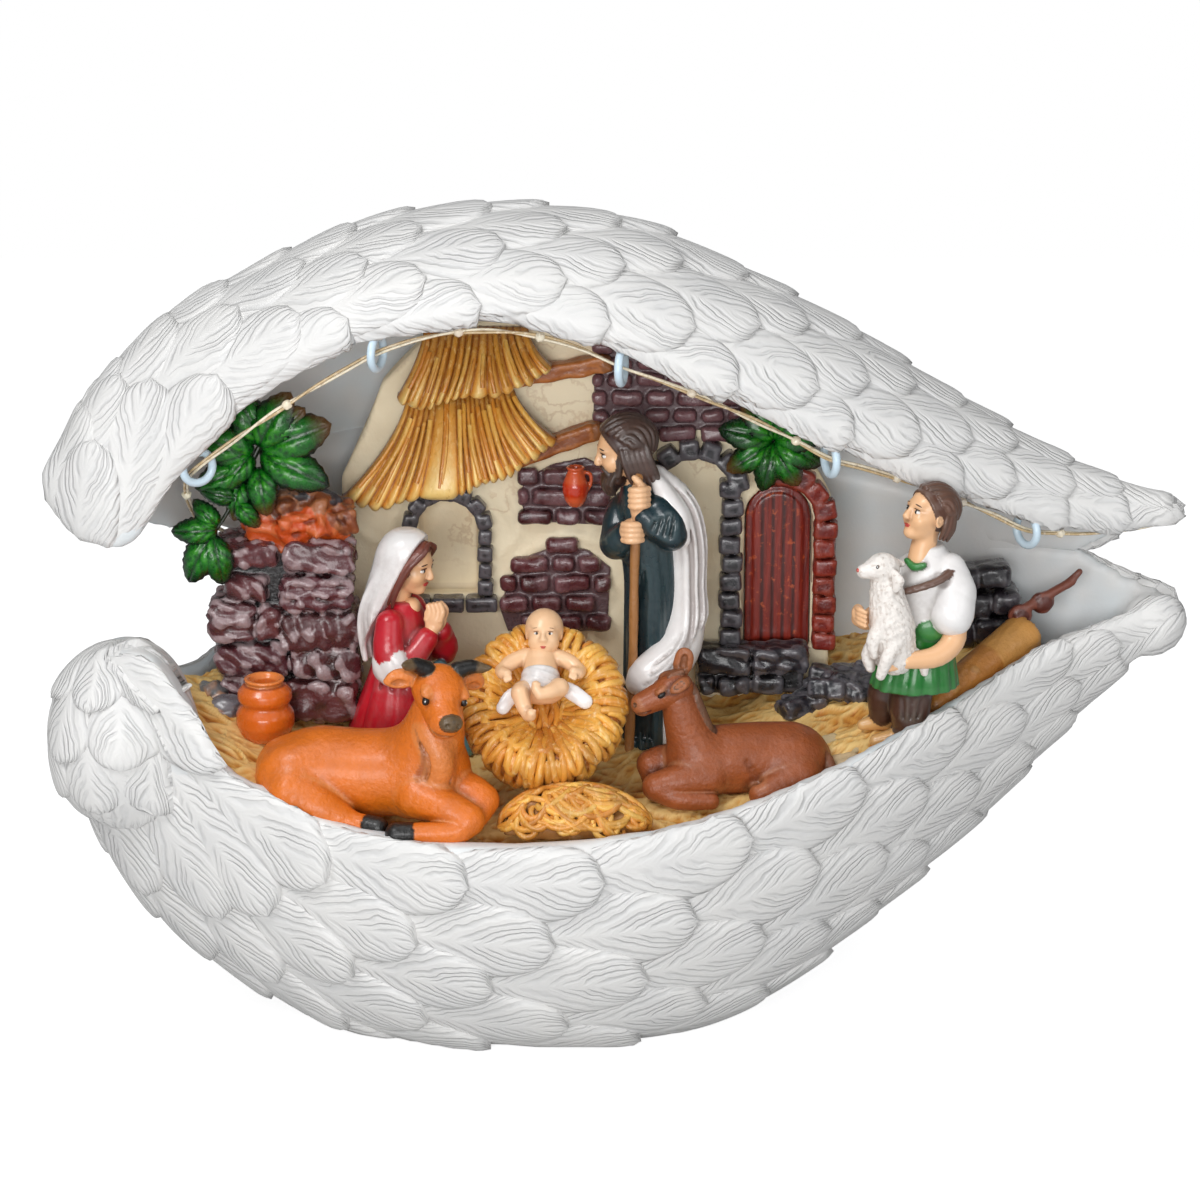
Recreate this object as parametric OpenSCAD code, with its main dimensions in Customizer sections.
// Nativity scene in painted cast resin: a lower and an upper feathered wing cup together like a shell,
// a stable front and seven figures stand on a straw floor inside, and a string of small lights hangs
// from eyelets under the upper wing. The lights are fed from a battery box set into the flat foot.
// X runs from the wings' shoulders to their tips, Y from front to back, Z up from the foot.

/* [Wings] */
// Length of the wings from shoulder to tip
wing_span = 300; // [290:1:315]
// How far the lower wing's rim reaches in front of the centre plane
bowl_reach = 66; // [63:1:70]
// How far the wings reach behind the centre plane
back_reach = 52; // [50:1:58]
// How far the upper wing's rim reaches in front of the centre plane
canopy_reach = 26; // [22:1:30]
// Height of the lower wing's rim at its lowest point
rim_low_z = 67.5; // [66:0.5:70]
// Height of the lower wing's shoulder
shoulder_z = 111; // [108:1:114]
// Height of the seam where the two wings meet at the back
seam_z = 118; // [116:1:121]
// Height of the upper wing's shoulder, at its lower edge
upper_shoulder_z = 135; // [133:1:138]
// Height of the arched opening's crown
arch_z = 194; // [192:1:198]
// Height of the upper wing's crest
crest_z = 214; // [211:1:222]
// Wall thickness of the wings
wing_wall = 6; // [5:0.5:7]
// How far the lower wing's belly curve dips below the foot plane, which sets the size of the flat foot
foot_sink = 9; // [8:0.5:10]
// Wall thickness over the flat foot
foot_wall = 7; // [6:0.5:9]

/* [Feathers] */
// Rows of feathers across the upper wing; the lower wing has three more
feather_rows = 12; // [10:1:14]
// Feathers in each row, from the shoulder to the tip
feather_count = 10; // [9:1:11]
// How far a feather's tip stands off the wing
feather_lift = 3.2; // [2.6:0.1:3.6]

/* [Ground] */
// Height of the straw floor at the front of the bowl
floor_front_z = 62; // [60:0.5:63]
// Rise of the floor for each millimetre towards the back
floor_slope = 0.2; // [0.16:0.01:0.22]
// Thickness of the straw floor
floor_thickness = 8; // [6:0.5:10]
// Distance from the centre to where the floor starts to climb to the left
left_bank_x = 68; // [66:1:72]
// Rise of the left bank for each millimetre
left_bank_slope = 0.42; // [0.36:0.01:0.46]
// Distance from the centre to where the floor starts to climb to the right
right_bank_x = 34; // [32:1:37]
// Rise of the right bank for each millimetre
right_bank_slope = 0.25; // [0.22:0.01:0.28]

/* [Stable] */
// Distance of the stable wall's front face behind the centre plane
wall_y = 20; // [18:0.5:22]
// Thickness of the stable wall
wall_thickness = 7; // [5:0.5:9]
// Height of the window's arch above the floor
window_rise = 61; // [59:0.5:63]
// Width of the window's opening
window_width = 16; // [14:0.5:18]
// Width of the stones round the window
window_stone = 4.2; // [3.5:0.1:5]
// Width of the door leaf
door_width = 18; // [16:0.5:19]
// Height of the door leaf
door_height = 46; // [42:1:48]

/* [Figures] */
// Height of the kneeling mother
mother_height = 62; // [59:1:64]
// Height of the standing father
father_height = 88; // [84:1:92]
// Height of the shepherd boy
shepherd_height = 67; // [63:1:70]
// Length of the lying ox
ox_length = 63; // [60:1:66]
// Length of the lying donkey
donkey_length = 48; // [45:1:51]
// Width of the straw crib
crib_width = 42; // [39:1:44]
// Diameter of the father's staff
staff_d = 2.8; // [2.4:0.1:3.2]

/* [Lights] */
// Diameter of the pair of twisted light wires
wire_d = 1.2; // [1:0.1:1.5]
// Inside diameter of an eyelet
eyelet_bore = 6; // [5.5:0.1:7]
// Thickness of an eyelet's ring
eyelet_wire = 2.2; // [1.8:0.1:2.6]
// Depth of an eyelet's centre under the upper wing's rim
eyelet_drop = 4.4; // [4.2:0.1:5]
// Diameter of a light bead
bead_d = 2.6; // [2.4:0.1:3]

/* [Battery box] */
// Diameter of one cell
cell_d = 10.5; // [10:0.1:10.8]
// Length of one cell
cell_length = 44.5; // [43:0.5:45]
// Wall of the moulded box
box_wall = 1.5; // [1.2:0.1:2]
// Width of the box's flange round its mouth
flange_width = 4; // [3:0.5:5]
// Thickness of the flange and of the cover
flange_thickness = 2; // [1.6:0.1:2.4]
// Depth of the flange's face above the foot plane
flange_recess = 0.8; // [0.6:0.1:1.2]
// Travel of the switch
switch_travel = 4; // [3:0.5:5]

/* [Hidden] */

// Clearance between castings that are glued together
glue_gap = 0.15;
// Clearance round the straw floor inside the bowl
floor_gap = 1.15;
// Clearance of a moving plastic piece
slide_gap = 0.25;
// Left end of the wings
wing_left_x = 2 - wing_span / 2;
// Places along and across the yard follow the wings' size
function along_span(x) = x * wing_span / 300;
function in_yard(y) = y < 0 ? y * bowl_reach / 66 : y * back_reach / 52;
// A longer ox reaches further to both sides
ox_grow = (ox_length - 63) / 2;
// The middle of the foot comes over the origin
module centred() { translate([-2, (bowl_reach - back_reach) / 2 - .29, 0]) children(); }

// Outline shares along the wings: each row is [share of the span from the shoulder, share of the size]
RIM_REACH = [[0, .20], [.02, .42], [.04, .52], [.067, .60], [.10, .67], [.16, .74], [.20, .80], [.257, .90],
  [.373, 1], [.513, .97], [.61, .82], [.707, .58], [.81, .24], [.87, .06], [.927, -.09], [1, -.21]];
RIM_HEIGHT = [[0, .48], [.02, .75], [.04, .89], [.067, .99], [.10, .98], [.13, .70], [.16, .34], [.20, .22],
  [.257, .08], [.373, 0], [.513, .05], [.61, .16], [.707, .335], [.81, .565], [.87, .725], [.927, .82],
      [1, .885]];
BELLY_HEIGHT = [[0, .82], [.02, .68], [.04, .53], [.067, .41], [.10, .30], [.13, .23], [.16, .175],
    [.20, .11],
  [.257, .045], [.373, 0], [.513, .01], [.61, .085], [.707, .26], [.81, .48], [.87, .645], [.927, .80],
      [1, 1]];
BACK_REACH = [[0, -.15], [.02, .12], [.04, .26], [.067, .38], [.10, .52], [.16, .70], [.257, .88],
    [.373, .97],
  [.513, 1], [.61, .97], [.707, .90], [.81, .76], [.87, .66], [.927, .54], [1, .35]];
LOWER_BACK_DROP = [[0, 1], [.10, 1.06], [.13, .9], [.17, 0], [.18, 0], [.5, 0], [.90, 0], [.91, 0],
    [.95, .18], [1, .34]];
UPPER_BACK_RISE = [[0, .85], [.05, .5], [.10, .31], [.13, .25], [.17, 0], [.18, 0], [.5, 0], [.90, 0],
    [.91, 0],
  [.95, .22], [1, .41]];
ARCH_REACH = [[0, .5], [.04, .9], [.08, 1], [.3, 1], [.48, 1], [.566, .92], [.65, .77], [.74, .5], [.83,
    .12],
  [.925, -.3], [1, -.54]];
ARCH_HEIGHT = [[0, .17], [.02, .05], [.045, 0], [.08, .01], [.123, .34], [.185, .64], [.253, .865],
    [.33, .965],
  [.397, 1], [.48, .90], [.566, .695], [.65, .49], [.74, .255], [.83, .05], [.925, -.10], [1, -.06]];
CREST_HEIGHT = [[0, .19], [.02, .29], [.045, .44], [.10, .64], [.18, .80], [.28, .95], [.395, 1], [.51,
    .94],
  [.61, .765], [.70, .575], [.78, .375], [.88, .15], [.955, .025], [1, -.02]];
// Wall thickness along the wings: the shoulders are nearly solid
WALL_SHARE = [[0, 3], [.08, 2.6], [.12, 1.6], [.17, 1], [.5, 1], [.9, .9], [1, .5]];
// Rise of the belly from its lowest point to the tip
belly_rise = 113;
// Difference in height between the seam and the open back edges at the shoulders
back_gap = 32;
// How far the crest line lies behind the middle of the upper wing
crest_y = 6;

// Stations along the span where the wings are lofted
STATIONS = [0, .02, .04, .067, .10, .13, .152, .16, .18, .22, .267, .32, .38, .45, .53, .607, .68, .75,
    .81, .87, .92, .96, 1];
// Steps from the front rim to the back edge of a wing's inside
section_steps = 10;

// Smooth curve through a table of [place, value] rows
function row_at(u, t, i = 0) = i >= len(t) - 2 || u < t[i + 1][0] ? i : row_at(u, t, i + 1);
function row_slope(t, i) = let (a = max(i - 1, 0), b = min(i + 1,
    len(t) - 1)) (t[b][1] - t[a][1]) / (t[b][0] - t[a][0]);
function curve(u, t) = let (i = row_at(u, t), h = t[i + 1][0] - t[i][0], s = (u - t[i][0]) / h)
  (1 + 2 * s) * (1 - s) ^ 2 * t[i][1] + s * (1 - s) ^ 2 * h * row_slope(t, i)
  + s ^ 2 * (3 - 2 * s) * t[i + 1][1] + s ^ 2 * (s - 1) * h * row_slope(t, i + 1);

// Sizes of the wings at a share u of the span
function span_x(u) = wing_left_x + wing_span * u;
function span_u(x) = (x - wing_left_x) / wing_span;
function rim_y(u) = -bowl_reach * curve(u, RIM_REACH);
function rim_z(u) = rim_low_z + (shoulder_z - rim_low_z) * curve(u, RIM_HEIGHT);
function belly_z(u) = -foot_sink + belly_rise * curve(u, BELLY_HEIGHT);
function back_y(u) = back_reach * curve(u, BACK_REACH);
function lower_back_z(u) = seam_z - back_gap * max(0, curve(u, LOWER_BACK_DROP));
function upper_back_z(u) = seam_z + glue_gap + back_gap * max(0, curve(u, UPPER_BACK_RISE));
function arch_y(u) = -canopy_reach * curve(u, ARCH_REACH);
function arch_rim_z(u) = upper_shoulder_z + (arch_z - upper_shoulder_z) * curve(u, ARCH_HEIGHT);
function crest_top_z(u) = upper_shoulder_z + (crest_z - upper_shoulder_z) * curve(u, CREST_HEIGHT);
function middle_y(u) = (rim_y(u) + back_y(u)) / 2 - 2;
function crest_line_y(u) = (arch_y(u) + back_y(u)) / 2 + crest_y * (1 - u) * min(1, 8 * u);
function wall_at(u, half) = min(wing_wall * curve(u, WALL_SHARE), 0.45 * half);

// A point on a wing's section: v runs from 0 at the front rim to 1 at the back edge, in is the wall inside it
function lower_point(u, v, in) = let (
    ym = middle_y(u), a = 180 * (v < .5 ? v : v - .5),
    floor_in = in > 0 ? max(belly_z(u) + in, min(foot_wall, rim_z(u) - in)) : belly_z(u))
  v < .5
    ? [span_x(u), ym - (ym - rim_y(u) - in) * cos(a), rim_z(u) - (rim_z(u) - floor_in) * sin(a)]
    : [span_x(u), ym + (back_y(u) - in - ym) * sin(a),
        lower_back_z(u) - (lower_back_z(u) - floor_in) * cos(a)];
function upper_point(u, v, in) = let (
    ym = crest_line_y(u), a = 180 * (v < .5 ? v : v - .5), top = crest_top_z(u) - in)
  v < .5
    ? [span_x(u), ym - (ym - arch_y(u) - in) * cos(a), arch_rim_z(u) + (top - arch_rim_z(u)) * sin(a)]
    : [span_x(u), ym + (back_y(u) - in - ym) * sin(a), upper_back_z(u) + (top - upper_back_z(u)) * cos(a)];
function wing_point(upper, u, v, in = 0) = upper ? upper_point(u, v, in) : lower_point(u, v, in);
function lower_half(u) = min(middle_y(u) - rim_y(u), rim_z(u) - belly_z(u), lower_back_z(u) - belly_z(u));
function upper_half(u) = min(crest_line_y(u) - arch_y(u), crest_top_z(u) - arch_rim_z(u),
    crest_top_z(u) - upper_back_z(u));
function wing_in(upper, u) = wall_at(u, upper ? upper_half(u) : lower_half(u));

// Outward normal of a wing's outer face
function unit(p) = p / max(norm(p), 0.000001);
function wing_normal(upper, u, v) = let (d = 0.004, s = upper ? -1 : 1)
  unit(s * cross(wing_point(upper, u, min(v + d, 1)) - wing_point(upper, u, max(v - d, 0)),
                 wing_point(upper, min(u + d, 1), v) - wing_point(upper, max(u - d, 0), v)));
function on_wing(upper, u, v, lift) = let (uc = min(max(u, .004), .996), vc = min(max(v, .002), .998))
  wing_point(upper, uc, vc) + lift * wing_normal(upper, uc, vc);

// The straw floor: one plane that climbs to the back, with a bank at each side
floor_front_y = -58;
function floor_z(x, y) = floor_front_z + floor_slope * (y - floor_front_y)
  + right_bank_slope * max(0, x - right_bank_x) + left_bank_slope * max(0, -left_bank_x - x);
function on_floor(x, y) = [x, y, floor_z(x, y) + glue_gap];

// A closed skin through rings of points that all have the same count
module skin(rings) {
  n = len(rings[0]);
  m = len(rings);
  points = [for (r = rings) each r];
  sides = [for (i = [0 : m - 2], j = [0 : n - 1]) let (k = (j + 1) % n)
    each [[i * n + j, i * n + k, (i + 1) * n + k], [i * n + j, (i + 1) * n + k, (i + 1) * n + j]]];
  polyhedron(points, concat([[for (j = [n - 1 : -1 : 0]) j]], sides,
      [[for (j = [0 : n - 1]) (m - 1) * n + j]]));
}

// A round-sectioned loft: each row is [centre, radius across x, radius across y], stacked upwards
module loft(rows, sides = 12) {
  skin([for (r = rows) [for (j = [0 : sides - 1]) let (a = -360 * j / sides)
    r[0] + [r[1] * cos(a), r[2] * sin(a), 0]]]);
}

module ball(p, r, fn = 12) { translate(p) sphere(r, $fn = fn); }
module ovoid(p, r, fn = 8) { translate(p) scale(r) sphere(1, $fn = fn); }
module limb(a, ra, b, rb, fn = 10) { hull() { ball(a, ra, fn); ball(b, rb, fn); } }

// Everything under the straw floor's surface, to seat what stands on it
module below_floor() {
  xs = [-170, -left_bank_x, right_bank_x, 170];
  lift = glue_gap;
  skin([for (x = xs) [[x, -110, floor_z(x, -110) + lift], [x, 90, floor_z(x, 90) + lift], [x, 90, -60],
      [x, -110, -60]]]);
}

// A block of stone with its edges chamfered
module stone(p, size, turn = 0, chamfer = 1.2) {
  c = min(chamfer, min(size) / 3);
  translate(p) rotate([0, turn, 0]) hull() {
    cube([size[0], size[1] - 2 * c, size[2] - 2 * c], center = true);
    cube([size[0] - 2 * c, size[1], size[2]], center = true);
  }
}

// A leaf: a bowed diamond from its stalk towards its tip
module leaf(p, length, width, turn, dip) {
  translate(p) rotate([dip, turn, 0]) hull() polyhedron(
    [[0, 0, 0], [-width / 2, -0.5, length * .45], [width / 2, -0.5, length * .45], [0, -1.5, length],
     [0, -2.6, length * .5], [0, 1, length * .4]],
    [[0, 1, 4], [0, 4, 2], [1, 3, 4], [2, 4, 3], [0, 5, 1], [0, 2, 5], [1, 5, 3], [2, 3, 5]]);
}

// Rows of feathers lie closer together on the rounder half of a wing
function row_v(upper, s) = upper ? (s < .4 ? s * 1.25 : .5 + (s - .4) / 1.2)
  : (s < .45 ? s * 1.09 : .4905 + (s - .45) * .9264);
// Shares of a row's length against shares of the span
function row_lengths(upper, v) = let (
    run = [for (i = 0, sum = 0; i <= 40; i = i + 1,
      sum = sum + norm(wing_point(upper, i / 40, v) - wing_point(upper, (i - 1) / 40, v))) sum])
  [for (i = [0 : 40]) [run[i] / run[40], i / 40]];

// A feathered wing: the rows are lofted from tip to tip, and each tip is a step down to the next feather
// Half a feather is one step along a row, and neighbouring rows are half a feather apart
tip_share = .0035;
function tip_height(row, step, after) = (row + step) % 2 == 0 ? (after ? .1 : 1) : (after ? .56 : .5);
function side_height(after) = after ? .35 : .7;
// The feathers grow flatter where the wing narrows
function end_taper(upper, share) = max(0, min(1, 5 * share - .05, (upper ? 2.6 : 5) * (1 - share)));
module feathered_wing(upper) {
  rows = upper ? feather_rows : feather_rows + 3;
  steps = 2 * feather_count;
  outer = [for (c = [0 : 2 * rows]) row_v(upper, c / (2 * rows))];
  inner = [for (j = [section_steps : -1 : 0]) j / section_steps];
  outer_runs = [for (v = outer) row_lengths(upper, v)];
  inner_runs = [for (v = inner) row_lengths(upper, v)];
  rings = [[0, true], each [for (k = [1 : steps - 1], after = [false, true]) [k, after]], [steps, false]];
  skin([for (r = rings) let (
      last = r[0] == 0 || r[0] == steps,
      share = last ? r[0] / steps : r[0] / steps + (r[1] ? tip_share : -tip_share),
      face = [for (c = [0 : 2 * rows]) let (
          edge = c == 0 || c == 2 * rows,
          side = !edge && c % 2 == 0,
          at = last || !side ? share : share - .6 / steps * end_taper(upper, share),
          high = edge || last ? 0 : side ? side_height(r[1]) : tip_height((c - 1) / 2, r[0], r[1]),
          u = lookup(at, outer_runs[c]))
        high == 0 ? wing_point(upper, u, outer[c])
          : on_wing(upper, u, outer[c], feather_lift * high * end_taper(upper, at))],
      back = [for (j = [0 : section_steps]) let (u = lookup(share, inner_runs[j]))
        wing_point(upper, u, inner[j], wing_in(upper, u))],
      ring = concat(face, back))
    [for (j = [len(ring) - 1 : -1 : 0]) ring[j]]]);
}

// A wing without its feathers, for the room it takes up
module wing_shell(upper) {
  skin([for (u = STATIONS) let (in = wing_in(upper, u),
    ring = concat([for (j = [0 : section_steps]) wing_point(upper, u, j / section_steps)],
                  [for (j = [section_steps : -1 : 0]) wing_point(upper, u, j / section_steps, in)]))
    upper ? ring : [for (j = [len(ring) - 1 : -1 : 0]) ring[j]]]);
}

// Feathered bowl with a flat foot and a pocket for the battery box
module lower_wing() {
  color("white") centred() difference() {
    union() {
      feathered_wing(false);
      shoulder();
    }
    translate([-200, -200, -100]) cube([400, 400, 100]);
    box_pocket();
  }
}

// Rounded shoulder of the bowl at the left
module shoulder() {
  translate([along_span(-128), in_yard(-26), shoulder_z - 11]) rotate([0, 6, 0])
    scale([18.5, 19, 25]) sphere(1, $fn = 20);
}

// Feathered canopy, seated on the lower wing along the seam
module upper_wing() {
  color("white") centred() difference() {
    feathered_wing(true);
    // Trimmed flat along the seam
    translate([-200, -200, seam_z - 60]) cube([400, 400, 60 + glue_gap]);
  }
}

// Centre of the battery box on the foot
box_x = -22;
box_y = -8;
// Inside of the battery box
bay_length = cell_length + 6;
bay_depth = 2 * cell_d + 1.4;
bay_height = cell_d + 1.2;
// Room beside the bay for the switch
switch_room = 13;
box_length = bay_length + switch_room + 3 * box_wall;
box_depth = bay_depth + 2 * box_wall;
bay_x = box_x - box_length / 2 + box_wall + bay_length / 2;
switch_x = box_x + box_length / 2 - box_wall - switch_room / 2;
mouth_z = flange_recess;
box_top_z = mouth_z + flange_thickness + bay_height + box_wall;
lead_hole_d = 3;
// Lid plate
cover_length = bay_length - 2 * slide_gap;
cover_depth = bay_depth - 2 * slide_gap;
// Slide switch
knob_length = 5;
knob_depth = 4;
slot_length = knob_length + switch_travel + 2 * slide_gap;
slot_depth = knob_depth + 2 * slide_gap;

module plate(length, depth, height, r) {
  linear_extrude(height) offset(r, $fn = 24) square([length - 2 * r, depth - 2 * r], center = true);
}

module box_pocket() {
  translate([box_x, box_y, -1])
    plate(box_length + 2 * glue_gap, box_depth + 2 * glue_gap, foot_wall + 12, 1);
  translate([box_x, box_y, -1])
    plate(box_length + 2 * flange_width + 2 * glue_gap, box_depth + 2 * flange_width + 2 * glue_gap,
      1 + mouth_z + flange_thickness + glue_gap, 3);
}

// Inside faces of the bowl at a share u of the span and a height z
function bowl_low(u) = max(belly_z(u) + wing_in(false, u), min(foot_wall, rim_z(u) - wing_in(false, u)));
function bowl_share(top, u, z) = cos(asin(min(1, max(0, (top - z) / (top - bowl_low(u))))));
function bowl_front_y(u, z) = let (ym = middle_y(u))
  ym - (ym - rim_y(u) - wing_in(false, u)) * bowl_share(rim_z(u), u, z) + floor_gap;
function bowl_back_y(u, z) = let (ym = middle_y(u))
  ym + (back_y(u) - wing_in(false, u) - ym) * bowl_share(lower_back_z(u), u, z) - floor_gap;

// Straw floor, fitted inside the bowl
module straw_floor() {
  us = [.152, .16, .18, .22, span_u(-left_bank_x), .32, .38, .45, .53, span_u(right_bank_x), .68, .75,
      .81, .87];
  color("goldenrod") centred() difference() {
    skin([for (u = us) let (
        x = span_x(u),
        yf = bowl_front_y(u, floor_z(x, rim_y(u) + wing_in(false, u))), zf = floor_z(x, yf),
        yb = bowl_back_y(u, floor_z(x, back_y(u) - wing_in(false, u) - 2)), zb = floor_z(x, yb))
      [[x, yf, zf], [x, yb, zb], [x, bowl_back_y(u, zb - floor_thickness), zb - floor_thickness],
       [x, bowl_front_y(u, zf - floor_thickness), zf - floor_thickness]]]);
    translate([lead_x, lead_y, 40]) cylinder(h = 80, d = lead_hole_d, $fn = 24);
  }
}

// The stable front stands upright behind the figures, drawn in X and Z
module upright(y) { translate([0, y, 0]) rotate([90, 0, 0]) children(); }
window_x = -45;
window_top_z = floor_z(window_x, wall_y) + window_rise;
window_r = window_width / 2;
window_sill_z = window_top_z - window_stone - 27;
door_x = 44;
door_low_z = floor_z(door_x, wall_y) + 12;
door_top_z = door_low_z + door_height;
WALL_OUTLINE = [[-73, 60], [-73, 140], [-62, 166], [-46, 183], [-20, 183], [-6, 179], [9, 176], [22,
    169], [38, 157],
  [54, 145], [60, 135], [60, 60]];

module window_opening(grow) {
  translate([window_x, window_top_z - window_stone - window_r]) circle(window_r + grow, $fn = 48);
  translate([window_x - window_r - grow, window_sill_z - grow])
    square([window_width + 2 * grow, window_top_z - window_stone - window_r - window_sill_z + grow]);
}

module door_shape(grow) {
  translate([door_x, door_top_z - door_width / 2]) circle(door_width / 2 + grow, $fn = 48);
  translate([door_x - door_width / 2 - grow, door_low_z - grow])
    square([door_width + 2 * grow, door_height - door_width / 2 + grow]);
}

module stable_wall() {
  color("ivory") centred() difference() {
    upright(wall_y + wall_thickness) linear_extrude(wall_thickness) difference() {
      polygon(WALL_OUTLINE);
      window_opening(0);
      door_shape(glue_gap);
    }
    below_floor();
  }
}

// Bricks laid round the window on a thin backing, and a plain sill
module window_surround() {
  spring_z = window_top_z - window_stone - window_r;
  color("dimgray") centred() {
    upright(wall_y - glue_gap) linear_extrude(1.6) difference() {
      window_opening(window_stone);
      window_opening(0);
    }
    upright(wall_y - glue_gap - 1) linear_extrude(2.4) {
      for (i = [0 : 6])
        translate([window_x, spring_z]) rotate(i * 180 / 7 + 90 / 7)
          translate([window_r + .2, -2.1]) square([window_stone - .4, 4.2]);
      for (side = [-1, 1], i = [0 : 3])
        translate([window_x + side * (window_r + window_stone / 2), window_sill_z + 2.6 + i * 4.75])
          square([window_stone - .4, 4.2], center = true);
      translate([window_x, window_sill_z - window_stone / 2])
        square([window_width + 2 * window_stone, window_stone - .4], center = true);
    }
  }
}

// Bare brickwork where the plaster has fallen
PATCH_OUTLINES = [
  [[-26, 134], [-22, 128], [-4, 127], [-1, 133], [-2, 143], [-8, 146], [-17, 144], [-24, 140]],
  [[-31, 103], [-29, 97], [-2, 97], [-1, 115], [-7, 120], [-15, 121.5], [-23, 118.5], [-29, 111.5]],
  [[-6, 158], [4, 154], [14, 152.5], [24, 153.5], [36, 150], [40, 154], [34, 160], [22, 168], [9, 175],
      [-5, 177]]];
module brick_patches() {
  color("rosybrown") centred() difference() {
    for (outline = PATCH_OUTLINES) {
      upright(wall_y - glue_gap) linear_extrude(1) polygon(outline);
      upright(wall_y - glue_gap - .8) linear_extrude(1.4) intersection() {
        polygon(outline);
        for (row = [0 : 20], i = [-6 : 7])
          translate([i * 7.4 + (row % 2) * 3.7, 97 + row * 4.1]) square([6.8, 3.5]);
      }
    }
    beams(glue_gap);
  }
}

// Two roof timbers whose ends show beside the thatch
BEAMS = [[[-32, 165.5], 9, 30, 4.6], [[-33, 141.5], 20, 30, 5]];
module beams(grow) {
  for (b = BEAMS)
    upright(wall_y - glue_gap + grow) translate(b[0]) rotate(b[1]) translate([-grow, -grow])
      linear_extrude(5.4 + 2 * grow) square([b[2] + 2 * grow, b[3] + 2 * grow]);
}
// What lies under a roof timber, seen from the front
module under_beams() {
  for (b = BEAMS)
    upright(wall_y) translate(b[0]) rotate(b[1]) translate([0, -12]) linear_extrude(20) square([b[2],
        12.2]);
}
module roof_beams() {
  color("sienna") centred() beams(0);
}

// A tier of thatch: straw bundles that fan out from a ridge over the wall's face
module thatch(top_left, top_right, low_left, low_right, droop, bundles) {
  color("goldenrod") centred() difference() {
    for (i = [0 : bundles - 1]) {
      s = i / (bundles - 1);
      a = top_left + (top_right - top_left) * s;
      b = low_left + (low_right - low_left) * s + [0, -8 * sin(180 * s),
          -droop * sin(180 * s) - 2 * (i % 2)];
      limb([a[0], wall_y - 2, a[2]], 2.8, b, 3.4, 5);
    }
    translate([-100, wall_y - glue_gap, 100]) cube([200, 40, 120]);
    beams(.4);
    under_beams();
    if (low_left[2] < 150) upper_thatch_room();
  }
}
module upper_thatch_room() {
  translate([-100, 0, 164.5]) cube([200, 60, 40]);
}
module lower_thatch() {
  thatch([-50, 0, 164], [-25, 0, 164], [-70, 16, 137], [-18, 16, 152], .5, 10);
}
module upper_thatch() {
  difference() {
    thatch([-47, 0, 181], [-21, 0, 181], [-54, 16, 169], [-16, 16, 173], 1.5, 8);
    translate([-100, 0, 100]) cube([200, 60, 64.5 + glue_gap]);
  }
}

// Arched plank door set into its opening
module door_leaf() {
  color("maroon") centred() upright(wall_y + wall_thickness - 1.5) linear_extrude(wall_thickness - 3)
      difference() {
    door_shape(0);
    for (i = [-1, 1]) translate([door_x + i * door_width / 6 - .3, door_low_z]) square([.6, door_height]);
  }
  color("maroon") centred() upright(wall_y + wall_thickness - 1) linear_extrude(1) door_shape(0);
}

// Red quoin bricks up the right of the door and over its arch
module door_surround() {
  color("firebrick") centred() difference() {
    upright(wall_y - glue_gap) linear_extrude(2) intersection() {
      difference() {
        door_shape(7);
        door_shape(.5);
      }
      translate([door_x - 3, door_low_z]) square([40, 80]);
    }
    below_floor();
  }
  color("firebrick") centred() upright(wall_y - glue_gap - 1.5) linear_extrude(2) {
    for (i = [0 : 6])
      translate([door_x + door_width / 2 + .8, door_low_z + .4 + i * 5.25]) square([5.6 - (i % 2) * 1.4,
          4.5]);
    for (i = [0 : 3])
      translate([door_x, door_top_z - door_width / 2]) rotate(12 + i * 24)
        translate([door_width / 2 + .8, -2.4]) square([5.6 - (i % 2) * 1.2, 4.8]);
  }
}

// Grey stones left of the door, running up into an arch
module arch_column() {
  color("slategray") centred() difference() {
    union() {
      for (i = [0 : 8]) stone([31.2 + (i % 2) * .8, wall_y - 1.6, 96.4 + i * 5.2], [6.4, 6, 4.9],
          (i % 3) * 3 - 3);
      for (i = [0 : 5]) translate([21.5, wall_y - 1.6, 137]) rotate([0, -i * 28 - 14, 0]) stone([12, 0,
          0], [5, 6, 5.4]);
      translate([30.6, wall_y - 2, 94]) cube([2, 2, 48]);
    }
    translate([-50, wall_y - glue_gap, 50]) cube([200, 40, 150]);
    below_floor();
  }
}

// Two courses of stones in front of the door
module door_step() {
  color("slategray") centred() difference() {
    for (s = [[25, 85, 8, 12], [33, 85, 8.6, 12], [41.5, 85.5, 9, 12], [28, 90.2, 9.4, 6.6], [38, 90.2,
        9.6, 6.6], [46.6, 90.4, 8, 6]])
      stone([s[0], wall_y - 6.2, s[1]], [s[2], 9, s[3]], 0, 1.6);
    translate([-50, wall_y - 2.4, 50]) cube([200, 40, 150]);
    below_floor();
  }
}

// Dark rubble beside the step
module rubble_bank() {
  color("dimgray") centred() difference() {
    for (s = [[54, 9, 6, 5], [61, 7, 7, 6], [67, 4, 6, 4.6], [58, 2, 5.4, 4], [64, 12, 6, 5]])
      hull() {
        ball(on_floor(s[0], s[1]) + [-s[2] * .3, 0, 0], s[3], 6);
        ball(on_floor(s[0], s[1]) + [s[2] * .4, .5, .8], s[3] * .8, 6);
      }
    translate([-50, wall_y - 2.4, 50]) cube([200, 40, 150]);
    below_floor();
  }
}

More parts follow.
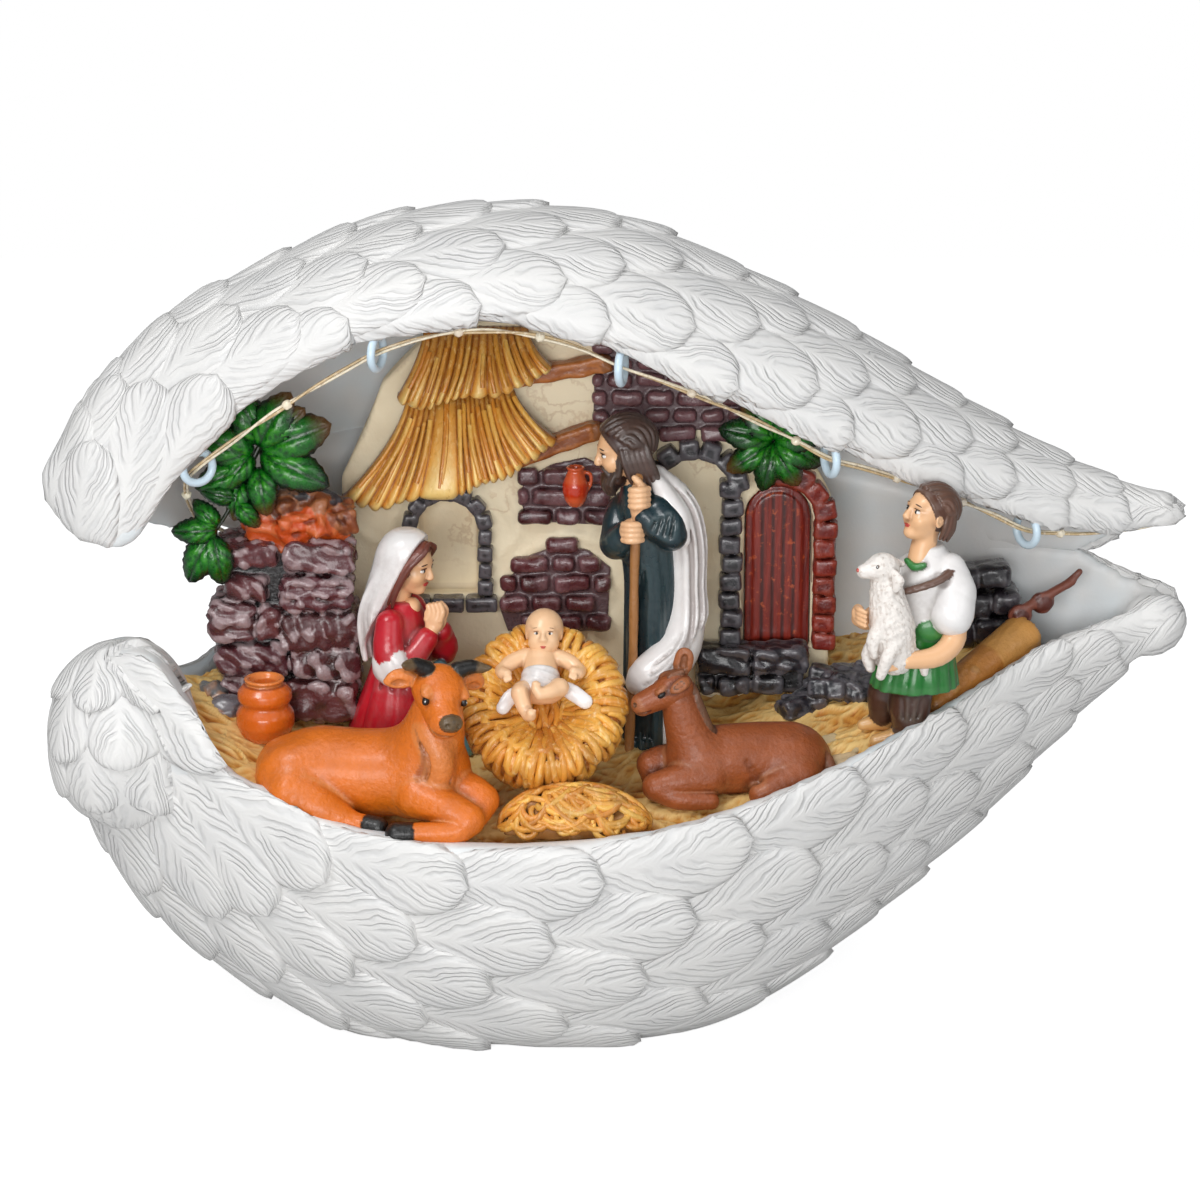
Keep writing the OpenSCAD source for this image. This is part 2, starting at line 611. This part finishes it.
// Leaves over the door
module door_vine() {
  color("darkgreen") centred() difference() {
    union() {
      ball([42, wall_y - 4, 152], 4.5, 6);
      for (l = [[-70, 15], [-35, 13], [0, 11], [40, 14], [75, 15], [110, 14], [150, 13], [190, 12],
          [240, 14]])
        leaf([42, wall_y - 5, 152], l[1], 7.5, l[0], 16);
    }
    translate([-50, wall_y - 2.5, 50]) cube([200, 40, 150]);
    translate([door_x - 30, wall_y - 4, 100]) cube([60, 10, door_top_z + 7.5 - 100]);
  }
}

// Pillar of rough blocks at the left, fitted between the mother and the wire's hooked end
pillar_right_x = along_span(-53.4) - 12.6;
pillar_share = (pillar_right_x - along_span(-111)) / 45;
module beside_wire() { translate([pillar_right_x, 0, 0]) scale([pillar_share, 1, 1]) translate([66, 0,
    0]) children(); }
module stone_pillar() {
  color("rosybrown") centred() difference() {
    beside_wire() {
      for (s = [[-78, 125.6, 19, 9.6], [-79, 116, 19.6, 11], [-78, 105.4, 22, 11.4], [-77, 96.5, 19,
          9.6], [-78, 86, 20, 13],
                [-97, 126.5, 18, 8], [-101, 108, 13, 12], [-91.5, 108, 8, 10], [-96.5, 97, 20, 10],
                    [-96, 89, 18, 8], [-97, 117, 12, 8]])
        stone([s[0], 0, s[1]], [s[2], 17, s[3]], 0, 2);
      translate([-102, -4, 80]) cube([32, 11, 48]);
    }
    below_floor();
  }
}

// Rock ledge on top of the pillar
module ledge_rock() {
  color("peru") centred() beside_wire() difference() {
    for (s = [[-92, 132, 6], [-85, 134, 7], [-78, 133, 6], [-88, 138, 5.4], [-80, 138.5, 5], [-74, 135, 5]])
      hull() {
        ball([s[0], -1, s[1]], s[2], 6);
        ball([s[0] + 2, 3, s[1] - 1], s[2] * .9, 6);
      }
    translate([-150, -50, 60]) cube([100, 100, 70.6 + glue_gap]);
  }
}

// Leaves growing from the ledge
module pillar_vine() {
  color("darkgreen") centred() beside_wire() difference() {
    union() {
      limb([-90, 1, 143.6], 3, [-93, 0, 156], 2.6, 6);
      limb([-93, 0, 156], 2.6, [-105, -9, 133], 2.2, 6);
      for (l = [[-93, 155, 70, 20, 10], [-93, 155, 25, 17, 8], [-93, 156, -20, 15, 8], [-93, 153, 110,
          19, 14], [-92, 154, 125, 11, 20],
                [-95, 152, -60, 16, 12], [-96, 150, -110, 15, 16], [-105, 133, -150, 15, 8, -8], [-105,
                    132, 170, 13, 8, -8],
                [-104, 134, -90, 11, 10, -8], [-92, 156, 48, 15, 24], [-95, 153, -135, 10, 24]])
        leaf([l[0], len(l) > 5 ? l[5] : -2, l[1]], l[3], 8, l[2], l[4]);
    }
    ledge_rock_room();
  }
}
module ledge_rock_room() {
  for (s = [[-92, 132, 6], [-85, 134, 7], [-78, 133, 6], [-88, 138, 5.4], [-80, 138.5, 5], [-74, 135, 5]])
    hull() {
      ball([s[0], -1, s[1]], s[2] + glue_gap, 6);
      ball([s[0] + 2, 3, s[1] - 1], s[2] * .9 + glue_gap, 6);
    }
  translate([-110, -8.65, 110]) cube([45, 18, 20.7]);
}

// Small jar hung on the bricks
module hanging_jar() {
  color("orangered") centred() translate([-10.5, wall_y - 2.6 - 3.7 - glue_gap, 134])
      rotate_extrude($fn = 32)
    polygon([[0, 0], [2, 0], [3.4, 3], [3.6, 6], [2.6, 9], [2, 10], [2.6, 11.2], [1.7, 11.2], [1.4, 10],
        [0, 9]]);
}

// Squat clay pot with a turned-out lip
pot_x = along_span(-92);
pot_y = in_yard(-18);
module clay_pot() {
  color("darkorange") centred() difference() {
    translate([pot_x, pot_y, floor_z(pot_x, pot_y) - 3]) rotate_extrude($fn = 48)
      polygon([[0, 0], [5.5, 0], [7.2, 3], [7.8, 6], [7.4, 9], [6.2, 11], [7, 13], [6.8, 15], [5, 17],
          [6, 18.4], [5.6, 19.2],
        [4, 18.6], [3.6, 16.6], [0, 15.6]]);
    below_floor();
  }
}

// Low wall of dark field stones at the right
field_x = along_span(98);
module field_wall() {
  color("dimgray") centred() difference() {
    translate([field_x - 98, in_yard(21) - 21, floor_z(field_x, in_yard(21)) - 93.8]) {
      for (s = [[93, 97, 9, 8], [101.5, 98, 9, 8], [97, 105, 10, 7], [105.5, 106, 8, 7], [94, 112, 9,
          6.6], [102, 113, 9.6, 6.6]])
        stone([s[0], 21, s[1]], [s[2], 12, s[3]], 4, 1.8);
      translate([92, 18, 88]) cube([14, 7, 24]);
    }
    below_floor();
  }
}

// Hollowed log lying along the rim, end open to the right
log_a_place = [along_span(85), in_yard(-9)];
log_b_place = [along_span(109), in_yard(9)];
log_a = [log_a_place[0], log_a_place[1], floor_z(log_a_place[0], log_a_place[1]) + 1.45];
log_b = [log_b_place[0], log_b_place[1], floor_z(log_b_place[0], log_b_place[1]) + 4.45];
module along(a, b) {
  d = b - a;
  translate(a) rotate([0, acos(d[2] / norm(d)), atan2(d[1], d[0])]) children();
}
module log_trough() {
  color("burlywood") centred() difference() {
    along(log_a, log_b) difference() {
      cylinder(h = norm(log_b - log_a), r1 = 4.6, r2 = 6, $fn = 36);
      translate([0, 0, norm(log_b - log_a) - 12]) cylinder(h = 13, r1 = 2.5, r2 = 4.4, $fn = 36);
    }
    below_floor();
  }
}

// Small plough leaning from the log's end against the wing
module wooden_plough() {
  color("saddlebrown") centred() difference() {
    union() {
      along(log_b + [0, 1.6, 7], log_b + [14, 5.6, 14]) cylinder(h = norm([14, 4, 7]), d = 2.6, $fn = 24);
      for (p = [[0, 1.6, 5.8], [6, 3.4, 8.8]]) translate(log_b + p) rotate([90, 0, 12])
        cylinder(h = 4, d = 6.4, center = true, $fn = 28);
    }
    along(log_a, log_b) cylinder(h = norm(log_b - log_a), r1 = 4.6 + glue_gap, r2 = 6 + glue_gap, $fn = 36);
  }
}

// Three flat stones on the path
donkey_end_x = along_span(9) + donkey_length;
module stepping_stones() {
  color("tan") centred() difference() {
    for (s = [[60, -23.6, 4.2], [66, -26, 2.6], [57, -14, 4]]) {
      x = donkey_end_x + (s[0] - 57) / 18 * (shepherd_at[0] - donkey_end_x);
      y = max(in_yard(s[1]), bowl_front_y(span_u(x), floor_z(x, in_yard(s[1]))) + s[2] + 1.4);
      translate([x, y, floor_z(x, y) - 2]) rotate([11, -14, 0]) cylinder(h = 3.4, r = s[2], $fn = 28);
    }
    below_floor();
  }
}

// Straw heaped in front of the crib
hay_x = along_span(-11) + ox_grow;
module hay_bundle() {
  color("tan") centred() difference() {
    union() {
      ovoid(on_floor(hay_x, in_yard(-49)), [19.4, 8, 12], 12);
      for (i = [0 : 6]) {
        a = hay_x - 15.5 + i * 4.8;
        limb(on_floor(a, in_yard(-49) - 3) + [0, -1, 4], 1.6,
          on_floor(a + 4, in_yard(-49) + 1) + [0, 0, 8 + 2.5 * sin(i * 40)], 1.8, 6);
      }
    }
    below_floor();
    crib_room();
    bowl_room(1);
  }
}
// Space taken by the lower wing's wall, with room for glue
module bowl_room(side) {
  for (out = [0, .7, 1.4] * wing_wall) translate([side * (floor_gap - out), floor_gap - out, 0])
    wing_shell(false);
}
module crib_room() {
  translate([0, -glue_gap * 2, 0]) crib_body();
}

// Straw crib: a heap with a dished front that holds the infant
crib_place = [along_span(-18.5), in_yard(-27)];
crib_at = [crib_place[0], crib_place[1], floor_z(crib_place[0], crib_place[1]) + 21.8];
module crib_body() {
  k = crib_width / 42;
  translate(crib_at) rotate([-42, 0, 0]) scale([k, 1, k]) {
    for (i = [0 : 11]) rotate([0, i * 30, 0])
      limb([0, 0, 8], 4.8, [0, -2, 18 + (i % 2) * 2], 3 + (i % 3) * .5, 5);
  }
  hull() {
    translate(crib_at + [0, 4, -14]) scale([17, 9, 14]) sphere(1, $fn = 10);
    translate(crib_at + [0, 8, -2]) scale([14, 6, 12]) sphere(1, $fn = 10);
  }
}
module straw_crib() {
  color("khaki") centred() difference() {
    crib_body();
    below_floor();
    infant_body();
  }
}

// Infant lying back in the straw with arms out and knees up
module infant_body() {
  translate(crib_at + [0, -5, 0]) rotate([-30, 0, 0]) {
    ovoid([0, 0, 17], [5.2, 5.4, 5.8]);
    limb([0, 0, 9.5], 4.4, [0, -.5, 2], 4.8, 6);
    limb([-4, 0, 10], 2, [-9, -1.5, 6.5], 1.7, 6);
    limb([4, 0, 10], 2, [9.5, -1.5, 8], 1.7, 6);
    limb([-9, -1.5, 6.5], 1.7, [-11, -2.5, 9.5], 1.5, 6);
    limb([9.5, -1.5, 8], 1.7, [11, -2.5, 11], 1.5, 6);
    limb([-2.6, -1, 0], 3, [-6, -4, -7], 2.4, 6);
    limb([2.6, -1, 0], 3, [5.5, -4, -6], 2.4, 6);
    limb([-6, -4, -7], 2.4, [0, -5, -12], 1.7, 6);
    limb([5.5, -4, -6], 2.4, [1, -4, -11], 1.7, 6);
    limb([-4.4, -.6, 2], 3.4, [4.4, -.6, 2], 3.4, 6);
  }
}
module infant() {
  color("peachpuff") centred() difference() {
    infant_body();
    below_floor();
  }
}

// Kneeling mother, facing right with folded hands
mother_place = [along_span(-54.7), in_yard(-7)];
mother_at = [mother_place[0], mother_place[1], floor_z(mother_place[0], mother_place[1]) - 2];
module mother() {
  color("firebrick") centred() difference() {
    translate(mother_at) rotate([0, 0, -20]) scale(mother_height / 62) translate([0, 0, 2]) {
      loft([[[-3, 0, -4], 13, 12], [[-2.6, 0, 4], 12.6, 11.4], [[-1.6, 0, 12], 11, 10.4], [[-.6, 0, 20],
          8.8, 9],
            [[0, 0, 27], 7.4, 8.2], [[0, 0, 34], 6.8, 8.8], [[.2, 0, 38], 5.8, 7.6], [[1.2, .3, 42.4],
                3.2, 3.4],
            [[1.8, .4, 46], 3, 3]], 9);
      ovoid([2.4, .6, 52], [6.4, 5.6, 7.4]);
      // Veil over the head and down the back
      hull() {
        ball([.4, .6, 54.6], 7.2, 6);
        ball([-2.4, .4, 46], 7.2, 6);
      }
      hull() {
        ball([-2.4, .4, 46], 7.4, 6);
        ball([-4, 0, 33], 7, 6);
      }
      // Arms bent up to the folded hands
      limb([0, -7.6, 38], 3.7, [1.4, -9.2, 27], 4.4, 6);
      limb([1.4, -9.2, 27], 4.2, [8.6, -3.4, 33.4], 3.1, 6);
      limb([0, 7.6, 38], 3.6, [4.4, 8.4, 27.6], 4.2, 6);
      limb([4.4, 8.4, 27.6], 4, [9.8, 2.8, 33.6], 3.2, 6);
      limb([9.2, -.6, 34], 2.6, [11, -.6, 41.6], 1.9, 6);
      ovoid([1.2, -10.4, 27.4], [5.3, 3.4, 5.7]);
      limb([9, 2, 20], 2.4, [14, 3, 4], 4, 6);
    }
    below_floor();
  }
}

// Standing father, facing left, a cloak over his back and a staff in his hand
father_at = [along_span(9), in_yard(-1)];
father_z = floor_z(father_at[0], father_at[1]);
staff_top = [father_at[0] - 3, father_at[1] - 8.6, father_z + 76 * father_height / 88];
staff_place = [father_at[0] - 5.2, father_at[1] - 6.2];
staff_foot = [staff_place[0], staff_place[1], floor_z(staff_place[0], staff_place[1]) - 4];
module staff(grow) {
  along(staff_foot, staff_top) cylinder(h = norm(staff_top - staff_foot) + grow, d = staff_d + 2 * grow,
      $fn = 20);
}
module father_staff() {
  color("saddlebrown") centred() difference() {
    staff(0);
    below_floor();
  }
}
module father() {
  color("darkslategray") centred() difference() {
    translate([father_at[0], father_at[1], father_z - 2]) rotate([0, 0, 188]) scale(father_height / 88)
      translate([0, 0, 2]) {
        loft([[[.8, 0, -4], 5.8, 6.4], [[.6, 0, 6], 5.8, 6.4], [[0, 0, 18], 6.2, 6.8], [[-.4, 0, 32],
            6.6, 7.2],
              [[-.6, 0, 44], 7, 7.6], [[0, 0, 54], 7.4, 8.4], [[.6, 0, 62], 7.2, 8.8], [[2, .2, 67.5],
                  5.8, 7],
              [[3.6, .5, 71], 4, 4.4], [[5, .7, 74], 3.2, 3.3]], 9);
        ovoid([7, 1, 80.4], [6.8, 5.8, 7.6]);
        hull() {
          ball([5.6, 1, 82.4], 5.8, 6);
          ball([1.6, .8, 74], 4.8, 6);
        }
        hull() {
          ball([10.8, 1, 76.6], 3.2, 6);
          ball([11.4, 1, 71.6], 2, 6);
        }
        // Cloak over the shoulder, down the back and swept across the knees
        limb([-1.6, 1, 71], 3.6, [-6.6, 2, 65], 5.2, 6);
        limb([-6.6, 2, 65], 5.2, [-9.2, 2.4, 52], 5.2, 6);
        limb([-9.2, 2.4, 52], 5.2, [-9.4, 3.2, 35], 5, 6);
        limb([-9.4, 3.2, 35], 5, [-3.6, 7, 23.4], 6, 6);
        limb([-3.6, 7, 23.4], 6, [4.2, 7.4, 18.6], 3.2, 6);
        limb([-4.4, 2.5, 24], 3.6, [-5, 2.2, -2], 3.4, 6);
        // Arms to the staff
        limb([2.6, -5, 66], 3.8, [8.8, .4, 55.4], 4.4, 6);
        limb([8.8, .4, 55.4], 4.2, [5.4, 7, 60.6], 3.2, 6);
        limb([-1.4, 7, 66], 4.2, [-4.6, 8.4, 59.4], 4.2, 6);
        limb([-4.6, 8.4, 59.4], 4.2, [3.4, 8.4, 66.4], 3.3, 6);
        limb([3.4, 8, 67], 2.9, [3.6, 8, 71.6], 3, 6);
      }
    below_floor();
    staff(glue_gap);
  }
}

// Shepherd boy, looking up to the left with a lamb in his arms
shepherd_at = [along_span(77), in_yard(-17.5)];
module shepherd_body() {
  translate([shepherd_at[0], shepherd_at[1], floor_z(shepherd_at[0], shepherd_at[1]) - 2])
    scale(shepherd_height / 67) translate([0, 0, 2]) {
      limb([.4, -3, 0], 4.4, [2, -2, 20], 6, 6);
      limb([-6.2, 3, 1], 3.8, [-4.4, 2, 20], 5.4, 6);
      limb([1.6, -3, .8], 2.8, [-8.6, -4, -.2], 1.9, 6);
      limb([-5, 3, 1.8], 2.6, [-11.4, 2.8, 1], 1.7, 6);
      loft([[[1.4, -.4, 13.6], 11.2, 8.6], [[1.7, -.4, 17], 10.6, 8.4], [[2.3, 0, 22], 9.4, 7.8],
            [[3, 0, 29], 8.5, 7.2], [[4, 0, 35], 8.8, 7.5], [[5, 0, 42], 8.8, 7.6], [[5.2, 0, 47], 7.2,
                6.6],
            [[4.6, 0, 50], 5, 5], [[4.2, 0, 53], 3.6, 3.6], [[4, -.4, 57], 3.4, 3.4]], 9);
      ovoid([3.9, -.6, 60.2], [6.8, 6.2, 7]);
      hull() {
        ball([5.2, 0, 61.6], 6, 6);
        ball([7.6, .6, 57], 4.4, 6);
      }
      limb([9.6, -2.6, 46], 4.4, [10.2, -7.4, 35.4], 5.4, 6);
      limb([10.4, -7.6, 33.6], 3.4, [6, -11.2, 25.2], 2.9, 6);
      limb([6, -11.2, 25.2], 2.8, [-3.4, -13.4, 24.9], 2.4, 6);
      limb([.4, 2.4, 45], 4, [-5.6, -1.4, 37], 4.2, 6);
      limb([-5.8, -1.6, 36.6], 3.2, [-14, -8.4, 34.6], 2.2, 6);
      limb([-14, -8.4, 34.6], 2.2, [-14.2, -11, 37.4], 1.9, 6);
    }
}
module shepherd() {
  color("forestgreen") centred() difference() {
    shepherd_body();
    below_floor();
    bowl_room(-1);
  }
}
module lamb_body() {
  translate([shepherd_at[0], shepherd_at[1], floor_z(shepherd_at[0], shepherd_at[1])]) {
    hull() {
      ball([-4.6, -10.4, 25.8], 5.4, 8);
      ball([-5.6, -10.8, 33], 5.9, 8);
    }
    hull() {
      ball([-5.6, -10.8, 33], 5.8, 8);
      ball([-6.8, -10.2, 40], 4.7, 8);
    }
    limb([-6.8, -10.2, 40], 4.5, [-8, -10, 48.6], 3.9, 6);
    limb([-8.2, -10, 49], 3.9, [-13, -11.4, 48.4], 2.2, 6);
    limb([-5.6, -12.6, 48.6], 1.6, [-5.2, -14.4, 44.8], 1.1, 6);
    limb([-8.6, -13.2, 34], 2.2, [-10.2, -14.8, 27.4], 1.5, 6);
    limb([-4.8, -14, 30], 2.3, [-8.4, -15.4, 22], 1.5, 6);
    limb([-8, -10.8, 29], 2.3, [-10.6, -12.2, 22.8], 1.5, 6);
  }
}
module lamb() {
  color("whitesmoke") centred() difference() {
    lamb_body();
    shepherd_body();
  }
}

// Lying ox, its head turned to the front
ox_place = [crib_place[0] - 71.5 - ox_grow, in_yard(-37)];
ox_at = [ox_place[0], ox_place[1], floor_z(-left_bank_x, ox_place[1]) - 2];
module ox() {
  color("chocolate") centred() difference() {
    translate(ox_at) rotate([0, 0, -6]) scale(ox_length / 63) translate([0, 0, 2]) {
      rotate([0, 90, 0]) loft([for (r = [[0, 11, 5], [5, 12, 10], [14, 12, 11.6], [26, 11.6, 11.2],
          [36, 12.4, 11.4], [44, 13, 10], [50, 14, 6]])
        [[-r[1] - 1, 0, r[0]], r[2], r[2] * .95]], 9);
      limb([41, -1, 17], 9.4, [45, -4.4, 31], 6.8, 6);
      limb([45.2, -5, 37], 6.6, [46.4, -7.6, 36], 6, 6);
      limb([46.4, -7.6, 36], 6, [49, -13.2, 31.6], 4.4, 6);
      // Ears and horns
      limb([40.6, -5.2, 37], 2.2, [32.8, -4.8, 34.4], 1.4, 6);
      limb([50.2, -5, 39.6], 2.2, [56.6, -5.1, 39.2], 1.4, 6);
      limb([41.6, -4.6, 41], 2, [34, -3.6, 40.6], 1.1, 6);
      limb([48, -4.4, 42.6], 2, [53.6, -3.4, 45], 1.1, 6);
      // Folded legs
      limb([11, -7.4, 9], 6.4, [20, -11, 4.6], 4.2, 6);
      limb([20, -11, 4.4], 3.8, [31, -13, 2.9], 2.7, 6);
      limb([41, -9.4, 9.4], 5.8, [53, -12.8, 5.6], 4.2, 6);
      limb([53, -12.8, 5.4], 4, [41, -14.8, 3.2], 2.7, 6);
      limb([46, -1, 9], 5.4, [56, -6, 7.6], 4.4, 6);
      limb([56, -6, 7.6], 4.2, [50, -9, 3.4], 3.2, 6);
      limb([2, 5, 12], 1.6, [-1, -4, 6], 1.6, 6);
    }
    below_floor();
    bowl_room(1);
  }
}

// Lying donkey, its head to the left
donkey_place = [along_span(9.6), in_yard(-30.5)];
donkey_at = [donkey_place[0], donkey_place[1], floor_z(donkey_place[0], donkey_place[1]) - 2];
module donkey() {
  color("saddlebrown") centred() difference() {
    translate(donkey_at) rotate([0, 0, 11]) scale(donkey_length / 48) translate([0, 0, 2]) {
      rotate([0, 90, 0]) loft([for (r = [[8, 10.6, 5.5], [12, 9.6, 7.6], [20, 9.8, 9.2], [30, 9.6, 9.4],
          [38, 9.4, 9], [44, 8.4, 5.6]])
        [[-r[1], 0, r[0]], r[2], r[2] * .95]], 9);
      limb([12.6, -.6, 12], 7.2, [7.6, -.4, 27], 4.8, 6);
      limb([6.6, -.6, 30], 4.9, [4, -.8, 29.8], 4.6, 6);
      limb([4, -.8, 29.8], 4.5, [-3.2, -1.6, 27.6], 2.9, 6);
      limb([7.6, .6, 33], 2, [9.4, 1.4, 41.4], 1.1, 6);
      limb([8, -3.4, 32], 1.9, [3.4, -6, 31], 1.1, 6);
      limb([10.6, -.2, 31], 2.4, [18.6, -.2, 17], 2.4, 6);
      // Folded legs and the tail
      limb([38, -7, 6.6], 6.2, [27.4, -10, 3.6], 3.4, 6);
      limb([27.4, -10, 3.4], 3.2, [38, -11.4, 2.2], 2.3, 6);
      limb([14, -6, 7.4], 5, [1.6, -5.6, 5], 3.7, 6);
      limb([1.6, -5.6, 4.8], 3.5, [13.6, -10.2, 2.4], 2.4, 6);
      limb([13, 4, 8], 4.6, [2.4, 2.8, 7.6], 3.8, 6);
      limb([2.4, 2.8, 7.6], 3.6, [6, .6, 3], 2.8, 6);
      limb([43, 1, 10], 1.9, [45.6, -4, 4.6], 1.7, 6);
    }
    below_floor();
  }
}

// Eyelets under the upper wing's rim: places along the span
EYELET_X = [for (x = [-107, -60.5, 1.5, 55.5, 109]) along_span(x)];
EYELET_TURN = [-60, -20, -12, 20, 35];
function eyelet_at(x) = let (u = span_u(x)) [x, arch_y(u) + 3.4, arch_rim_z(u) - eyelet_drop];
module wire_eyelets() {
  color("lightblue") centred() for (i = [0 : 4]) translate(eyelet_at(EYELET_X[i])) {
    rotate([0, 90, EYELET_TURN[i]]) rotate_extrude($fn = 40)
      translate([(eyelet_bore + eyelet_wire) / 2, 0]) circle(eyelet_wire / 2, $fn = 20);
    translate([0, 0, eyelet_bore / 2 + eyelet_wire / 2]) cylinder(h = 4, d = eyelet_wire, $fn = 20);
  }
}

// The light wire hooks over the back edge at the left, bows from eyelet to eyelet and ends at the wing's tip
WIRE_BOW = [1.5, 7.5, 1.5, 1.5];
wire_start = [along_span(-111), in_yard(16), 128];
function wire_end() = let (u = span_u(wing_left_x + wing_span - 6)) [span_x(u), arch_y(u) + 1,
    arch_rim_z(u) - wire_d / 2 - .4];
function wire_route() = concat(
  [wire_start, [along_span(-111.5), 6, 134], [along_span(-112), -6, 143], [along_span(-110.6), -15.6, 150]],
  [for (i = [0 : 3], k = [0 : 5]) let (s = k / 6, a = eyelet_at(EYELET_X[i]),
      b = eyelet_at(EYELET_X[i + 1]))
    a + (b - a) * s + [0, 0, WIRE_BOW[i] * 4 * s * (1 - s)]],
  [for (k = [0 : 4]) let (s = k / 4, a = eyelet_at(EYELET_X[4])) a + (wire_end() - a) * s - [0, 0,
      2 * sin(180 * s)]]);
function sweep_ring(route, i, r, sides) = let (
    a = route[max(i - 1, 0)], b = route[min(i + 1, len(route) - 1)], t = unit(b - a),
    n = unit(cross([0, 1, 0.001], t)), m = cross(t, n))
  [for (j = [0 : sides - 1]) let (w = -360 * j / sides) route[i] + r * cos(w) * n + r * sin(w) * m];
module sweep(route, d, sides) { skin([for (i = [0 : len(route) - 1]) sweep_ring(route, i, d / 2, sides)]); }
module light_wire() {
  color("darkgoldenrod") centred() sweep(wire_route(), wire_d, 6);
}

// Light beads cast round the wire
module light_beads() {
  route = wire_route();
  color("lightyellow") centred() for (i = [2, 7, 12, 14, 18, 21, 24, 26, 29])
    translate(route[i]) sphere(d = bead_d, $fn = 16);
}

// Supply lead from the wire's hooked end, down behind the pillar and through the floor to the battery box
lead_x = along_span(-84);
lead_y = 24;
module supply_lead() {
  route = [wire_start + [0, wire_d + .2, 0], [along_span(-107), 20, 126], [along_span(-98), 23, 120],
      [along_span(-88), 24, 112],
     [lead_x, lead_y, 102], [lead_x, lead_y, 84],
    [lead_x, lead_y, 62], [-76, 18, 48], [-66, 8, 36], [box_x - 27, box_y + 4, 28], [box_x - 20, box_y,
        box_top_z + 6], [box_x - 18, box_y, box_top_z + .1]];
  color("ivory") centred() sweep(route, wire_d, 6);
}

// Moulded battery box in the foot: a bay for two cells and a room for the switch
module battery_box() {
  color("whitesmoke") centred() difference() {
    union() {
      translate([box_x, box_y, mouth_z]) plate(box_length + 2 * flange_width,
          box_depth + 2 * flange_width, flange_thickness, 3);
      translate([box_x, box_y, mouth_z]) plate(box_length, box_depth, box_top_z - mouth_z, 1);
    }
    translate([bay_x - bay_length / 2, box_y - bay_depth / 2, mouth_z - 1])
      cube([bay_length, bay_depth, flange_thickness + bay_height + 1]);
    translate([switch_x - switch_room / 2, box_y - bay_depth / 2, mouth_z + flange_thickness])
      cube([switch_room, bay_depth, bay_height]);
    translate([switch_x - slot_length / 2, box_y - slot_depth / 2, mouth_z - 1])
      cube([slot_length, slot_depth, flange_thickness + 2]);
  }
}

// Two cells side by side, one turned end for end
cell_y = cell_d / 2 + .2;
cell_z = mouth_z + flange_thickness + .4 + cell_d / 2;
nub_length = 1;
module battery_cells() {
  color("darkseagreen") centred() for (side = [-1, 1]) translate([bay_x, box_y + side * cell_y, cell_z])
      rotate([0, side * 90, 0]) {
    translate([0, 0, -cell_length / 2]) cylinder(h = cell_length - nub_length, d = cell_d, $fn = 40);
    translate([0, 0, cell_length / 2 - nub_length]) cylinder(h = nub_length, d = 3.8, $fn = 24);
  }
}

// Sheet-metal contacts: a bridge at the left, two terminals at the right, each with a raised dome
sheet_thickness = 0.5;
dome_d = 4;
module battery_contacts() {
  dome_h = (bay_length - cell_length) / 2 - sheet_thickness - .1;
  color("silver") centred() for (end = [-1, 1], side = [-1, 1])
    translate([bay_x + end * (bay_length / 2 - .05), box_y + side * cell_y, cell_z]) rotate([0,
        -end * 90, 0]) {
      translate([-4, -4, 0]) cube([8, 8, sheet_thickness]);
      translate([0, 0, sheet_thickness]) cylinder(h = dome_h, d = dome_d, $fn = 24);
    }
  color("silver") centred() translate([bay_x - bay_length / 2 + .05, box_y - 2, cell_z - 2])
      cube([sheet_thickness, 4, 4]);
}

// Lid of the bay, with a finger groove
module battery_cover() {
  color("whitesmoke") centred() translate([bay_x, box_y, mouth_z]) difference() {
    plate(cover_length, cover_depth, flange_thickness, .8);
    for (i = [-1, 0, 1]) translate([cover_length / 2 - 8 + i * 2, -6, -.2]) cube([.9, 12, .8]);
  }
}

// Switch knob with its slider plate behind the flange
slider_z = mouth_z + flange_thickness + slide_gap;
slider_h = 1.4;
module power_switch() {
  color("black") centred() {
    translate([switch_x - switch_travel / 2 - knob_length / 2, box_y - knob_depth / 2, .3])
        cube([knob_length, knob_depth, slider_z + slider_h - .3]);
    translate([switch_x - switch_travel / 2 - knob_length / 2 - .8, box_y - knob_depth / 2 - 2,
        slider_z]) cube([knob_length + 1.6, knob_depth + 4, slider_h]);
  }
}

// Switch body over the slider, glued under the roof of its room
module switch_body() {
  low = slider_z + slider_h + slide_gap;
  color("dimgray") centred() translate([switch_x - 5.4, box_y - 4, low]) cube([10.8, 8,
      mouth_z + flange_thickness + bay_height - glue_gap / 3 - low]);
}

lower_wing();
upper_wing();
straw_floor();
stable_wall();
window_surround();
brick_patches();
roof_beams();
lower_thatch();
upper_thatch();
door_leaf();
door_surround();
arch_column();
door_step();
rubble_bank();
door_vine();
stone_pillar();
ledge_rock();
pillar_vine();
hanging_jar();
clay_pot();
field_wall();
log_trough();
wooden_plough();
stepping_stones();
hay_bundle();
straw_crib();
infant();
mother();
father();
father_staff();
shepherd();
lamb();
ox();
donkey();
light_wire();
light_beads();
wire_eyelets();
supply_lead();
battery_box();
battery_cells();
battery_contacts();
battery_cover();
power_switch();
switch_body();
